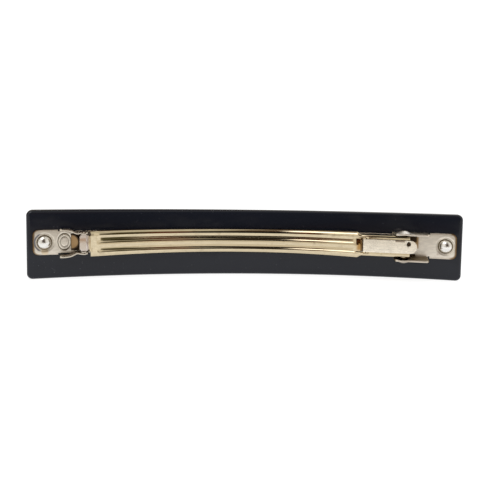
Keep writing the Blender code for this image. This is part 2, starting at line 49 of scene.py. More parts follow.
# The bar
BACK_RADIUS = 160.0 * MM
BAR_HALF_ARC = 50.85 * MM
BAR_HEIGHT = 15.7 * MM
BAR_THICKNESS = 3.5 * MM
BAR_EDGE_RADIUS = 0.9 * MM
BAR_CORNER_RADIUS = 1.3 * MM
BAR_STEPS = 128
BOX_MARGIN = 0.03 * MM  # keeps the finer curve inside the CAD's facets

# The base plate
CLASP_HEIGHT = 8.45 * MM
HINGE_DROP = 0.22 * MM  # the clasp sits a little lower at its hinge end
HINGE_DROP_SPAN = (8.0 * MM, 36.0 * MM)
SEAT_GAP = 0.06 * MM
PLATE_TOP = 0.61 * MM
PLATE_HALF_WIDTH = 3.0 * MM
LEFT_PAD_TRIM = 0.17 * MM  # the pad at the catch is a little narrower
PLATE_HALF_LENGTH = 49.45 * MM
PLATE_CORNER = 1.2 * MM
NOTCH_STATIONS = (-43.9 * MM, 43.3 * MM)
NOTCH_WIDTH = 0.4 * MM
NOTCH_DEPTH = 0.5 * MM
WAIST_START = -43.8 * MM
WAIST_END = 34.9 * MM
WAIST_HALF_WIDTH = 2.55 * MM
RIVET_STATION = 47.0 * MM
DISH_RADIUS = 2.15 * MM  # the rivets sit in shallow dishes
DISH_WALL = 0.35 * MM
DISH_DEPTH = 0.2 * MM
STAMP_STATION = -42.72 * MM
STAMP_HEIGHT = 0.1 * MM
STAMP_RADII = (1.42 * MM, 1.88 * MM)
STAMP_LINES = (  # (size, depth, width, stain), all as shares
    (1.0, 1.0, 0.085, 0.9),
    (0.62, 0.6, 0.07, 0.5),
)
STAMP_DEPTH = 0.09 * MM
LEDGE_START = (-41.25 * MM, -41.15 * MM)
LEDGE_END = (-39.3 * MM, -39.6 * MM)
LEDGE_SIDE = (2.0 * MM, 1.9 * MM)
LEDGE_DROP = 0.2 * MM
PLATE_CROWN = 0.03 * MM
PLATE_RUNS = (  # (station where the run ends, rows in it)
    (-38.0 * MM, 72),
    (40.0 * MM, 60),
    (PLATE_HALF_LENGTH - PLATE_CORNER, 60),
)
CORNER_ROWS = 12
CUT_STEP = 0.004 * MM  # half the length of a step in the plate's outline

# The rivets
RIVET_HEAD_RADIUS = 1.48 * MM
RIVET_HEAD_HEIGHT = 1.05 * MM
RIVET_SHANK_RADIUS = 0.8 * MM
RIVET_DEPTH = 2.3 * MM
RIVET_LIFT = 0.03 * MM
RIVET_RIM_HEIGHT = 0.16 * MM
RIVET_UNDERCUT = 0.08 * MM
RIVET_CHAMFER = 0.06 * MM
RIVET_DOME_STEPS = 18
RIVET_SEGMENTS = 64

# The hinge
PIVOT_STATION = 37.2 * MM
PIVOT_STAND_OFF = 3.3 * MM
EAR_START = 35.1 * MM
EAR_END = 43.0 * MM
EAR_TOP = 4.97 * MM
EAR_CORNER = 0.8 * MM
EAR_OUTSIDE = 3.04 * MM
EAR_ROOT = SEAT_GAP + 0.1 * MM
EAR_THICKNESS = 0.45 * MM
EAR_DOME_TOP = 0.25 * MM
EAR_DOME_RADIUS = 2.1 * MM
EAR_DOME_HEIGHT = 0.62 * MM
LOWER_EAR_FLARE = 0.4 * MM
BOSS_RADIUS = 1.1 * MM
BOSS_HEIGHT = {1: 0.62 * MM, -1: 0.82 * MM}
BOSS_ROOT = 0.2 * MM
BOSS_SEGMENTS = 40
BOSS_DOME_STEPS = 12

# The arm
ARM_START = -36.95 * MM
ARM_SHOULDER = 26.2 * MM
ARM_NECK = 27.4 * MM
ARM_END = 38.5 * MM
ARM_HALF_WIDTH = 2.9 * MM
ARM_END_WIDENING = {-1: 0.1 * MM, 1: 0.2 * MM}  # towards the catch, and towards the hinge
ARM_SAG = {-1: 0.21 * MM, 1: 0.0}  # how far the arm's ends hang down
ARM_NECK_HALF_WIDTH = 2.45 * MM
ARM_SHEET = 0.35 * MM
ARM_LOW_STATION = -5.4 * MM
ARM_LOW_TOP = 1.85 * MM
ARM_END_RISE = 2.45 * MM
ARM_NECK_EASING = 2.5 * MM
ARM_FLANGE = 1.15 * MM
ARM_HINGE_FLANGE = 3.3 * MM
ARM_HINGE_BLEND = 1.5 * MM
ARM_BEND = 1.05 * MM
ARM_NECK_BEND = 0.42 * MM
ARM_TOP_SHARE = 0.6
ARM_BEND_SHARE = 0.88
GROOVE_SPACING = 2.12 * MM
GROOVE_HALF_WIDTH = 0.57 * MM
GROOVE_EDGE = 0.3 * MM
GROOVE_DEPTH = 0.22 * MM
GROOVE_START = -35.1 * MM
GROOVE_FADE = 0.9 * MM
ARM_END_TILT = 0.05  # the flat end faces down a little
ARM_TILT_FADE = (-35.0 * MM, -36.2 * MM)
FUNNEL_DEPTH = 0.42 * MM  # the ribs sink towards the window
FUNNEL_START = (26.3 * MM, 25.0 * MM)  # in the middle, and at the sides
FUNNEL_BOTTOM = 27.5 * MM
FUNNEL_END = (28.8 * MM, 27.9 * MM)
FUNNEL_SIDE = (2.0 * MM, 1.5 * MM)
WINDOW_START = 27.1 * MM
WINDOW_END = 27.75 * MM
WINDOW_HALF_WIDTH = 1.7 * MM
WINDOW_ROUNDING = 0.3 * MM

# The tongue, the prongs and the leaf at the catch
TONGUE_TIP = -39.4 * MM
TONGUE_TOP = 2.92 * MM
TONGUE_SHEET = 0.33 * MM
TONGUE_NECK_HALF_WIDTH = 1.84 * MM
TONGUE_WING_HALF_WIDTH = 2.02 * MM
TONGUE_TIP_HALF_WIDTH = 1.47 * MM
TONGUE_ROOT = ARM_START + 0.4 * MM
TONGUE_SINK = 0.01 * MM
TONGUE_STEP = (-36.85 * MM, -37.55 * MM)
TONGUE_STEP_BULGE = 0.45 * MM
TONGUE_WINGS = (-37.75 * MM, -38.05 * MM)  # where they start, and where they are full
TONGUE_TAPER_START = -38.85 * MM
PRONG_FOOT = PLATE_TOP + 0.1 * MM
PRONG_TOP = 3.3 * MM
PRONG_WALL = 0.4 * MM
PRONG_CORNER = 0.35 * MM  # how far the free edge dips at its two ends
PRONG_CORNER_POWER = 12
LOWER_PRONG_LEAN = 0.12 * MM
PRONG_WAVE = (  # (station, distance of the wall from the centre line)
    (-43.7 * MM, 2.98 * MM),
    (-42.4 * MM, 2.96 * MM),
    (-41.2 * MM, 2.76 * MM),
    (-40.0 * MM, 2.20 * MM),
    (-39.2 * MM, 2.30 * MM),
    (-38.5 * MM, 2.38 * MM),
    (-37.9 * MM, 2.30 * MM),
    (-37.4 * MM, 2.12 * MM),
)
LIP_START = -39.0 * MM
LIP_END = -37.9 * MM
LIP_OUTSIDE = 2.25 * MM
LIP_INSIDE = 1.9 * MM
LIP_HEIGHT = 0.3 * MM
LEAF_START = -41.3 * MM
LEAF_TIP = -39.6 * MM
LEAF_RISE = 0.9 * MM
LEAF_HALF_WIDTH = 1.8 * MM
LEAF_TAPER = 0.85
LEAF_CURL = 0.65
LEAF_LIFT = 0.1 * MM
LEAF_THICKNESS = 0.35 * MM

# The leaf spring
SPRING_THICKNESS = 0.22 * MM
SPRING_HALF_WIDTH = 1.5 * MM
SPRING_START = -33.0 * MM
SPRING_END = 27.6 * MM
SPRING_DROP = 0.93 * MM
SPRING_TAPER = 0.4  # how much of its width the strip loses at its tip
SPRING_TAPER_SHARE = 0.04
TAIL_START = 27.7 * MM
TAIL_END = 40.1 * MM
TAIL_HALF_WIDTH = 1.52 * MM
TAIL_TIP_HALF_WIDTH = 0.3 * MM
TAIL_BUNCHING = 0.6  # draws its stations together at its round end
TAIL_THICKNESS = 0.3 * MM
TAIL_LIFT = 0.06 * MM
TAIL_OFFSET = 0.02 * MM
TAIL_PIT = (38.2 * MM, 0.68 * MM, 0.47 * MM)  # station, height, radius
TAIL_PIT_DEPTH = 0.25 * MM
TAIL_PIT_SHARE = 0.8  # of the floor's size beside the rim's, and of width by height
TAIL_TILT = 0.025  # the tail faces down a little

# Finishing
PLATE_STEPS_ACROSS = 44
EAR_STEPS = (56, 34)  # mesh steps, along and across
LEAF_STEPS = (18, 14)
PRONG_STEPS = (84, 10)
TONGUE_STEPS = (44, 24)
ARM_STEPS = (200, 112)
SPRING_STEPS = (120, 8)
TAIL_STEPS = (110, 36)
SHEET_RIM = 0.06 * MM  # rounding of a sheet's cut edges
SHARP_TURN = math.radians(50.0)
SMOOTH_TURN = math.radians(38.0)


# ---- shapes

def flat(station, stand_off, height=0.0):
    """A point of the flat layout; height is measured from the clasp's centre line."""
    lowered = HINGE_DROP * smooth_step(station, *HINGE_DROP_SPAN)
    return Vector((station, -stand_off, CLASP_HEIGHT - lowered + height))


def bow(point):
    """Wrap a point of the flat layout round the bar's curve."""
    angle = point.x / BACK_RADIUS
    reach = BACK_RADIUS + point.y
    depth = reach * math.cos(angle) - BACK_RADIUS - BAR_THICKNESS / 2
    return Vector((reach * math.sin(angle), depth, point.z))


def smooth_step(value, start, end):
    """0 at start and 1 at end, which may be the lower one, with an even S curve between."""
    share = min(max((value - start) / (end - start), 0.0), 1.0)
    return share * share * (3.0 - 2.0 * share)


def mix(first, second, share):
    """A value between first and second."""
    return first + (second - first) * share


def through(knots, u):
    """The value at u on straight lines through (u, value) knots."""
    for (u_low, low), (u_high, high) in zip(knots, knots[1:]):
        if u <= u_high:
            return mix(low, high, (u - u_low) / (u_high - u_low))
    return knots[-1][1]


def slab(place, steps_along, steps_across):
    """A closed sheet: place(u, v, side) gives its near face at side 0 and its far face at 1."""
    shape = bmesh.new()
    sides = []
    for side in (0, 1):
        rows = []
        for i in range(steps_along + 1):
            u = i / steps_along
            row = [shape.verts.new(place(u, j / steps_across, side))
                   for j in range(steps_across + 1)]
            rows.append(row)
        sides.append(rows)
    near, far = sides
    for i in range(steps_along):
        for j in range(steps_across):
            shape.faces.new((near[i][j], near[i + 1][j], near[i + 1][j + 1], near[i][j + 1]))
            shape.faces.new((far[i][j + 1], far[i + 1][j + 1], far[i + 1][j], far[i][j]))
    for i in range(steps_along):
        for j in (0, steps_across):
            shape.faces.new((near[i][j], near[i + 1][j], far[i + 1][j], far[i][j]))
    for j in range(steps_across):
        for i in (0, steps_along):
            shape.faces.new((near[i][j], near[i][j + 1], far[i][j + 1], far[i][j]))
    bmesh.ops.recalc_face_normals(shape, faces=shape.faces[:])
    return shape


def round_rims(shape, radius, segments=2):
    """Round every sharp edge of a closed shape a little."""
    rims = [edge for edge in shape.edges if edge.calc_face_angle(0.0) > SHARP_TURN]
    bmesh.ops.bevel(shape, geom=rims, offset=radius, segments=segments, profile=0.5,
                    affect="EDGES", clamp_overlap=True)


def rounded_slab(place, steps):
    """A bowed slab with rounded rims."""
    shape = slab(place, *steps)
    round_rims(shape, SHEET_RIM)
    bow_mesh(shape)
    return shape


def sheet(surface, thickness, steps):
    """A bowed sheet of even depth behind surface(u, v), with rounded rims."""

    def place(u, v, side):
        point = surface(u, v)
        point.y += thickness * side
        return point

    return rounded_slab(place, steps)


def bow_mesh(shape):
    """Wrap a whole flat shape round the bar's curve."""
    for vertex in shape.verts:
        vertex.co = bow(vertex.co)


def turned(profile, segments):
    """A solid turned about the -y axis; profile lists (radius, stand-off) from pole to pole."""
    shape = bmesh.new()
    first = shape.verts.new((0.0, -profile[0][1], 0.0))
    last = shape.verts.new((0.0, -profile[-1][1], 0.0))
    loops = []
    for radius, stand_off in profile[1:-1]:
        loop = []
        for k in range(segments):
            turn = 2.0 * math.pi * k / segments
            corner = (radius * math.cos(turn), -stand_off, radius * math.sin(turn))
            loop.append(shape.verts.new(corner))
        loops.append(loop)
    for k in range(segments):
        after = (k + 1) % segments
        shape.faces.new((first, loops[0][k], loops[0][after]))
        shape.faces.new((last, loops[-1][after], loops[-1][k]))
        for upper, lower in zip(loops, loops[1:]):
            shape.faces.new((upper[k], lower[k], lower[after], upper[after]))
    return shape


def slice_along(shape, start, end, steps):
    """Cut a flat shape across at even stations, so that it can bend."""
    for i in range(1, steps):
        station = mix(start, end, i / steps)
        geometry = shape.verts[:] + shape.edges[:] + shape.faces[:]
        bmesh.ops.bisect_plane(shape, geom=geometry, plane_co=(station, 0.0, 0.0),
                               plane_no=(1.0, 0.0, 0.0))


def flat_box(low, high):
    """A box between two corners of the flat layout."""
    shape = bmesh.new()
    bmesh.ops.create_cube(shape, size=1.0)
    bmesh.ops.scale(shape, vec=high - low, verts=shape.verts[:])
    bmesh.ops.translate(shape, vec=(high + low) / 2, verts=shape.verts[:])
    return shape


def show(name, data):
    """A new object in the scene."""
    thing = bpy.data.objects.new(name, data)
    bpy.context.scene.collection.objects.link(thing)
    return thing


def add_object(name, shape, placed=Matrix.Identity(4)):
    """Put a bmesh in the scene as an object, with its vertices in the row frame."""
    bmesh.ops.transform(shape, matrix=placed, verts=shape.verts[:])
    bmesh.ops.recalc_face_normals(shape, faces=shape.faces[:])
    mesh = bpy.data.meshes.new(name)
    shape.to_mesh(mesh)
    shape.free()
    return show(name, mesh)


def fuse(name, solid, extra=(), cutters=()):
    """One closed piece from overlapping solids, less the cutters."""
    body = add_object(name, solid)
    helpers = []
    for operation, shapes in (("UNION", extra), ("DIFFERENCE", cutters)):
        for shape in shapes:
            helper = add_object(name + "_helper", shape)
            boolean = body.modifiers.new("fuse", "BOOLEAN")
            boolean.operation = operation
            boolean.solver = "EXACT"
            boolean.object = helper
            helpers.append(helper)
    graph = bpy.context.evaluated_depsgraph_get()
    fused = bpy.data.meshes.new_from_object(body.evaluated_get(graph))
    body.modifiers.clear()
    body.data = fused
    for helper in helpers:
        bpy.data.objects.remove(helper, do_unlink=True)
    return body


def finish_piece(thing, material, body, node):
    """Shade a piece, seat it on its body, and let it stand for its CAD node."""
    thing.data.shade_smooth()
    thing.data.set_sharp_from_angle(angle=SMOOTH_TURN)
    weighted = thing.modifiers.new("weighted_normals", "WEIGHTED_NORMAL")
    weighted.keep_sharp = True
    thing.data.materials.clear()
    thing.data.materials.append(material)
    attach(thing, body)
    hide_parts(node)


def stand_at(station):
    """Where a turned piece stands on the bar's back."""
    spot = bow(flat(station, 0.0))
    return Matrix.Translation(spot) @ Matrix.Rotation(-station / BACK_RADIUS, 4, "Z")


# ---- the bar and its rivets

def lies_in_face(edge):
    """True for an edge that lies in the bar's back or in its show side."""
    first, second = edge.verts
    return abs(first.co.y - second.co.y) < BAR_THICKNESS / 2


def make_bar(material):
    """The bowed acetate bar with its polished round edges."""
    half_arc = BAR_HALF_ARC - BOX_MARGIN
    low = Vector((-half_arc, 0.0, 0.0))
    high = Vector((half_arc, BAR_THICKNESS - BOX_MARGIN, BAR_HEIGHT))
    shape = flat_box(low, high)
    corners = [edge for edge in shape.edges if not lies_in_face(edge)]
    bmesh.ops.bevel(shape, geom=corners, offset=BAR_CORNER_RADIUS, segments=10,
                    profile=0.5, affect="EDGES")
    rims = [edge for edge in shape.edges if lies_in_face(edge)]
    bmesh.ops.bevel(shape, geom=rims, offset=BAR_EDGE_RADIUS, segments=8,
                    profile=0.5, affect="EDGES")
    slice_along(shape, -half_arc, half_arc, BAR_STEPS)
    bow_mesh(shape)
    bar = add_object("bar_black_acetate", shape)
    finish_piece(bar, material, "base", "acetate_bar")


def make_rivet(end, station, material):
    """A polished dome rivet with a small flat rim."""
    seat = PLATE_TOP - DISH_DEPTH + RIVET_LIFT
    dome_foot = seat + RIVET_RIM_HEIGHT
    top = PLATE_TOP + RIVET_LIFT + RIVET_HEAD_HEIGHT
    profile = [(0.0, top)]
    for i in range(1, RIVET_DOME_STEPS + 1):
        turn = math.pi / 2 * i / RIVET_DOME_STEPS
        height = dome_foot + (top - dome_foot) * math.cos(turn)
        profile.append((RIVET_HEAD_RADIUS * math.sin(turn), height))
    profile += [(RIVET_HEAD_RADIUS, seat + RIVET_CHAMFER),
                (RIVET_HEAD_RADIUS - RIVET_UNDERCUT, seat), (RIVET_SHANK_RADIUS, seat),
                (RIVET_SHANK_RADIUS, -RIVET_DEPTH), (0.0, -RIVET_DEPTH)]
    rivet = add_object(end + "_rivet_dome", turned(profile, RIVET_SEGMENTS), stand_at(station))
    finish_piece(rivet, material, "base", end + "_rivet")


# ---- the base plate

def plate_rows():
    """Stations of the plate's rows: close at the pads, the corners and the outline's steps."""
    corner = PLATE_HALF_LENGTH - PLATE_CORNER
    stations = [-corner]
    for end, count in PLATE_RUNS:
        start = stations[-1]
        stations += [mix(start, end, i / count) for i in range(1, count + 1)]
    for i in range(CORNER_ROWS):
        turn = math.pi / 2 / CORNER_ROWS
        stations.append(-corner - PLATE_CORNER * math.cos(turn * i))
        stations.append(corner + PLATE_CORNER * math.sin(turn * (i + 1)))
    edges = [WAIST_START, WAIST_END]
    for centre in NOTCH_STATIONS:
        edges += [centre - NOTCH_WIDTH / 2, centre + NOTCH_WIDTH / 2]
    for edge in edges:
        stations += [edge - CUT_STEP, edge + CUT_STEP]
    return sorted(stations)


PLATE_ROWS = plate_rows()


def plate_half_width(station):
    """Half the plate's width: rounded corners, and relief notches where the folds start."""
    beyond = abs(station) - (PLATE_HALF_LENGTH - PLATE_CORNER)
    width = PLATE_HALF_WIDTH - (LEFT_PAD_TRIM if station < 0.0 else 0.0)
    if beyond > 0.0:
        width += math.sqrt(max(PLATE_CORNER ** 2 - beyond ** 2, 0.0)) - PLATE_CORNER
    if WAIST_START < station < WAIST_END:
        width = WAIST_HALF_WIDTH
    for centre in NOTCH_STATIONS:
        if abs(station - centre) < NOTCH_WIDTH / 2:
            width = PLATE_HALF_WIDTH - NOTCH_DEPTH
    return width


def plate_relief(station, height):
    """How far the plate's near face sinks: rivet dishes, a plain stamped oval, a ledge."""
    from_rivet = math.hypot(abs(station) - RIVET_STATION, height)
    dish = DISH_DEPTH * smooth_step(from_rivet, DISH_RADIUS, DISH_RADIUS - DISH_WALL)
    oval = math.hypot((station - STAMP_STATION) / STAMP_RADII[0],
                      (height - STAMP_HEIGHT) / STAMP_RADII[1])
    lines = sum(depth * math.exp(-((oval - size) / width) ** 2)
                for size, depth, width, _ in STAMP_LINES)
    ledge = smooth_step(station, *LEDGE_START) * smooth_step(station, *LEDGE_END)
    ledge *= smooth_step(abs(height), *LEDGE_SIDE)
    crown = PLATE_CROWN * (height / PLATE_HALF_WIDTH) ** 4
    return dish + STAMP_DEPTH * lines + LEDGE_DROP * ledge + crown


def ear_surface(side):
    """The outer face of a hinge ear, with the dome that its pivot turns in."""

    def surface(u, v):
        station = mix(EAR_START, EAR_END, u)
        from_end = min(station - EAR_START, EAR_END - station)
        shortfall = max(EAR_CORNER - from_end, 0.0)
        top = EAR_TOP - EAR_CORNER + math.sqrt(max(EAR_CORNER ** 2 - shortfall ** 2, 0.0))
        stand_off = mix(EAR_ROOT, top, v)
        reach = math.hypot(station - PIVOT_STATION, stand_off - PIVOT_STAND_OFF)
        dome = EAR_DOME_HEIGHT * smooth_step(reach, EAR_DOME_RADIUS, EAR_DOME_TOP)
        lean = LOWER_EAR_FLARE * stand_off / EAR_TOP if side < 0 else 0.0
        return flat(station, stand_off, side * (EAR_OUTSIDE + dome + lean))

    return surface


def ear_shape(side):
    """One hinge ear, folded up from the plate's edge."""
    surface = ear_surface(side)

    def place(u, v, inner):
        point = surface(u, v)
        point.z -= side * EAR_THICKNESS * inner
        return point

    return rounded_slab(place, EAR_STEPS)


def leaf_shape():
    """The ejector leaf that lifts the arm's tongue when the prongs let go."""

    def place(u, v, side):
        station = mix(LEAF_START, LEAF_TIP, u)
        width = LEAF_HALF_WIDTH * math.sqrt(1.0 - LEAF_TAPER * u * u)
        rise = LEAF_RISE * u * mix(1.0, u, LEAF_CURL)
        stand_off = PLATE_TOP - LEDGE_DROP + LEAF_LIFT + rise - LEAF_THICKNESS * side
        return flat(station, stand_off, width * (2.0 * v - 1.0))

    return rounded_slab(place, LEAF_STEPS)


def make_base_plate(material):
    """The pressed plate under the whole clasp, with its hinge ears and ejector leaf."""
    last = len(PLATE_ROWS) - 1

    def place(u, v, side):
        station = PLATE_ROWS[round(u * last)]
        height = plate_half_width(station) * (2.0 * v - 1.0)
        if side:
            return flat(station, SEAT_GAP, height)
        return flat(station, PLATE_TOP - plate_relief(station, height), height)

    strip = rounded_slab(place, (last, PLATE_STEPS_ACROSS))
    plate = fuse("base_plate_nickelled", strip, (ear_shape(1), ear_shape(-1), leaf_shape()))
    finish_piece(plate, material, "base", "base_plate")


# ---- the squeeze prongs

def wave(u):
    """A point of the prong's wall line, on a smooth curve through PRONG_WAVE."""
    spans = len(PRONG_WAVE) - 1
    span = min(max(int(u * spans), 0), spans - 1)
    t = u * spans - span
    around = [PRONG_WAVE[min(max(span + k, 0), spans)] for k in (-1, 0, 1, 2)]
    weights = (-t ** 3 + 2 * t ** 2 - t, 3 * t ** 3 - 5 * t ** 2 + 2,
               -3 * t ** 3 + 4 * t ** 2 + t, t ** 3 - t ** 2)
    station = sum(w * p[0] for w, p in zip(weights, around)) / 2
    distance = sum(w * p[1] for w, p in zip(weights, around)) / 2
    return station, distance


def make_prong(end, side, material):
    """One springy wall with a lip that holds the tongue down."""
    step = 1e-3

    def place(u, v, inner):
        station, distance = wave(u)
        before, after = wave(max(u - step, 0.0)), wave(min(u + step, 1.0))
        slope = Vector((after[0] - before[0], after[1] - before[1])).normalized()
        offset = PRONG_WALL * (0.5 - inner)
        corner = PRONG_CORNER * abs(2.0 * u - 1.0) ** PRONG_CORNER_POWER
        stand_off = mix(PRONG_FOOT, PRONG_TOP - corner, v)
        lean = LOWER_PRONG_LEAN * v if side < 0 else 0.0
        return flat(station - slope.y * offset, stand_off,
                    side * (distance + lean + slope.x * offset))

    ends = sorted((side * LIP_OUTSIDE, side * LIP_INSIDE))
    low = flat(LIP_START, PRONG_TOP, ends[0])
    high = flat(LIP_END, PRONG_TOP - LIP_HEIGHT, ends[1])
    lip = flat_box(low, high)
    round_rims(lip, SHEET_RIM)
    bow_mesh(lip)
    prong = fuse(end + "_prong_steel", rounded_slab(place, PRONG_STEPS), (lip,))
    finish_piece(prong, material, end + "_prong", end + "_catch_prong")


# ---- the arm

def bow_share(station):
    """0 at the arm's lowest point, and 1 at the shoulder."""
    return ((station - ARM_LOW_STATION) / (ARM_SHOULDER - ARM_LOW_STATION)) ** 2


def towards_end(amounts, station):
    """What an amount for each end of the arm has grown to at a station."""
    side = 1 if station > ARM_LOW_STATION else -1
    return amounts[side] * min(bow_share(station), 1.0)


def arm_top(station):
    """Stand-off of the rib crests: the fluted part is bowed, and the neck levels off."""
    if station <= ARM_SHOULDER:
        return ARM_LOW_TOP + ARM_END_RISE * bow_share(station)
    slope = 2.0 * ARM_END_RISE / (ARM_SHOULDER - ARM_LOW_STATION)
    climb = ARM_NECK_EASING * (1.0 - math.exp((ARM_SHOULDER - station) / ARM_NECK_EASING))
    return ARM_LOW_TOP + ARM_END_RISE + slope * climb


def groove_share(station):
    """1 along the fluted part of the arm, and 0 beyond its ends."""
    start = smooth_step(station, GROOVE_START - GROOVE_FADE / 2, GROOVE_START + GROOVE_FADE / 2)
    return start * smooth_step(station, ARM_SHOULDER, ARM_SHOULDER - GROOVE_FADE)


def groove_drop(height):
    """How far the fluting sinks below the crests at a height from the centre line."""
    from_groove = abs(abs(height) - GROOVE_SPACING / 2)
    return GROOVE_DEPTH * smooth_step(from_groove, GROOVE_HALF_WIDTH + GROOVE_EDGE,
                                      GROOVE_HALF_WIDTH - GROOVE_EDGE)


def funnel_drop(station, height):
    """How far the ends of the ribs sink towards the window, in a V that points at the catch."""
    outside, inside = FUNNEL_SIDE
    start = mix(*FUNNEL_START, min(abs(height) / inside, 1.0))
    along = smooth_step(station, start, FUNNEL_BOTTOM) * smooth_step(station, *FUNNEL_END)
    return FUNNEL_DEPTH * along * smooth_step(abs(height), outside, inside)


def arm_section(station, v, side):
    """(height, drop below the crests) round the channel section, as v goes from 0 to 1."""
    narrowing = smooth_step(station, ARM_SHOULDER, ARM_NECK)
    broad = ARM_HALF_WIDTH + towards_end(ARM_END_WIDENING, station)
    half_width = mix(broad, ARM_NECK_HALF_WIDTH, narrowing)
    hinge = smooth_step(station, ARM_SHOULDER, ARM_NECK + ARM_HINGE_BLEND)
    flange = mix(ARM_FLANGE, ARM_HINGE_FLANGE, hinge)
    outer_bend = mix(ARM_BEND, ARM_NECK_BEND, narrowing)
    half_top = half_width - outer_bend
    inset = ARM_SHEET * side
    bend = outer_bend - inset
    share = abs(2.0 * v - 1.0)
    if share <= ARM_TOP_SHARE:
        height = half_top * share / ARM_TOP_SHARE
        drop = inset
    elif share <= ARM_BEND_SHARE:
        turn = math.pi / 2 * (share - ARM_TOP_SHARE) / (ARM_BEND_SHARE - ARM_TOP_SHARE)
        height = half_top + bend * math.sin(turn)
        drop = outer_bend - bend * math.cos(turn)
    else:
        height = half_width - inset
        drop = mix(outer_bend, flange, (share - ARM_BEND_SHARE) / (1.0 - ARM_BEND_SHARE))
    drop += groove_drop(height) * groove_share(station)
    drop += funnel_drop(station, height)
    return math.copysign(height, v - 0.5), drop


ARM_KNOTS = ((0.0, ARM_START), (0.1, GROOVE_START + GROOVE_FADE / 2),
             (0.62, ARM_SHOULDER - GROOVE_FADE), (0.8, ARM_NECK), (1.0, ARM_END))


def tongue_width(station):
    """Half-width of the tongue: a neck, then wings that the prongs catch, then a tapered tip."""
    width = mix(TONGUE_NECK_HALF_WIDTH, TONGUE_WING_HALF_WIDTH,
                smooth_step(station, *TONGUE_WINGS))
    return mix(width, TONGUE_TIP_HALF_WIDTH,
               smooth_step(station, TONGUE_TAPER_START, TONGUE_TIP))


def tongue_shape():
    """The stepped tongue at the arm's catch end; its step bulges towards the catch."""

    def surface(u, v):
        station = mix(TONGUE_TIP, TONGUE_ROOT, u)
        across = 2.0 * v - 1.0
        bulge = TONGUE_STEP_BULGE * (1.0 - across * across)
        step_down = smooth_step(station + bulge, *TONGUE_STEP)
        stand_off = mix(arm_top(TONGUE_ROOT) - TONGUE_SINK, TONGUE_TOP, step_down)
        height = tongue_width(station) * across
        sag = towards_end(ARM_SAG, station) * (1.0 - step_down)
        return flat(station, stand_off, height - sag)

    return sheet(surface, TONGUE_SHEET, TONGUE_STEPS)


def boss_shape(side):
    """A dome on the arm's flange that turns in the ear's dome."""
    inside = ARM_NECK_HALF_WIDTH - BOSS_ROOT
    rise = BOSS_HEIGHT[side]
    sphere_radius = (BOSS_RADIUS ** 2 + rise ** 2) / (2.0 * rise)
    widest = math.asin(BOSS_RADIUS / sphere_radius)
    profile = [(0.0, inside), (BOSS_RADIUS, inside)]
    for i in range(BOSS_DOME_STEPS + 1):
        turn = widest * (1.0 - i / BOSS_DOME_STEPS)
        height = ARM_NECK_HALF_WIDTH + rise - sphere_radius * (1.0 - math.cos(turn))
        profile.append((sphere_radius * math.sin(turn), height))
    shape = turned(profile, BOSS_SEGMENTS)
    pivot = bow(flat(PIVOT_STATION, PIVOT_STAND_OFF))
    placed = Matrix.Translation(pivot) @ Matrix.Rotation(-side * math.pi / 2, 4, "X")
    bmesh.ops.transform(shape, matrix=placed, verts=shape.verts[:])
    return shape


def window_cutter():
    """The cutter for the slot that the leaf spring comes up through."""
    low = flat(WINDOW_START, arm_top(WINDOW_END) + MM, -WINDOW_HALF_WIDTH)
    high = flat(WINDOW_END, arm_top(WINDOW_START) - ARM_FLANGE, WINDOW_HALF_WIDTH)
    shape = flat_box(low, high)
    round_rims(shape, WINDOW_ROUNDING, 4)
    bow_mesh(shape)
    return shape


def make_arm(material):
    """The fluted arm with its tongue, its hinge bosses and its spring window."""

    def place(u, v, side):
        station = through(ARM_KNOTS, u)
        height, drop = arm_section(station, v, side)
        tilt = ARM_END_TILT * smooth_step(station, *ARM_TILT_FADE)
        stand_off = arm_top(station) - drop + height * tilt
        return flat(station, stand_off, height - towards_end(ARM_SAG, station))

    arm = fuse("clasp_arm_gilt", rounded_slab(place, ARM_STEPS),
               (tongue_shape(), boss_shape(1), boss_shape(-1)), (window_cutter(),))
    finish_piece(arm, material, "arm", "clasp_arm")


# ---- the leaf spring

def make_tension_spring(material):
    """The strip inside the arm that presses on the hair."""

    def surface(u, v):
        station = mix(SPRING_START, SPRING_END, u)
        taper = 1.0 - SPRING_TAPER * smooth_step(u, SPRING_TAPER_SHARE, 0.0)
        height = SPRING_HALF_WIDTH * taper * (2.0 * v - 1.0)
        return flat(station, arm_top(station) - SPRING_DROP, height)

    spring = add_object("spring_strip_steel", sheet(surface, SPRING_THICKNESS, SPRING_STEPS))
    finish_piece(spring, material, "spring", "tension_spring")


def tail_half_width(station):
    """Half-width of the tail: straight sides and a round end."""
    from_end = TAIL_END - station
    if from_end >= TAIL_HALF_WIDTH:
        return TAIL_HALF_WIDTH
    fallen = TAIL_HALF_WIDTH - from_end
    return math.sqrt(max(TAIL_HALF_WIDTH ** 2 - fallen ** 2, TAIL_TIP_HALF_WIDTH ** 2))


def make_spring_tail(material):
    """The spring's tail, which lies on the arm's neck and reaches past the hinge as a stop."""
    pit_station, pit_height, pit_radius = TAIL_PIT

    def place(u, v, side):
        bunched = u * (1.0 + TAIL_BUNCHING * (1.0 - u))
        station = mix(TAIL_START, TAIL_END, bunched)
        height = TAIL_OFFSET + tail_half_width(station) * (2.0 * v - 1.0)
        stand_off = arm_top(station) + TAIL_LIFT + TAIL_THICKNESS * (1 - side)
        stand_off += TAIL_TILT * (height - TAIL_OFFSET)
        if side == 0:
            from_pit = math.hypot(station - pit_station, (height - pit_height) * TAIL_PIT_SHARE)
            floor_radius = TAIL_PIT_SHARE * pit_radius
            stand_off -= TAIL_PIT_DEPTH * smooth_step(from_pit, pit_radius, floor_radius)
        return flat(station, stand_off, height)

    tail = add_object("spring_tail_steel", rounded_slab(place, TAIL_STEPS))
    finish_piece(tail, material, "arm", "spring_tail")


# ---- materials

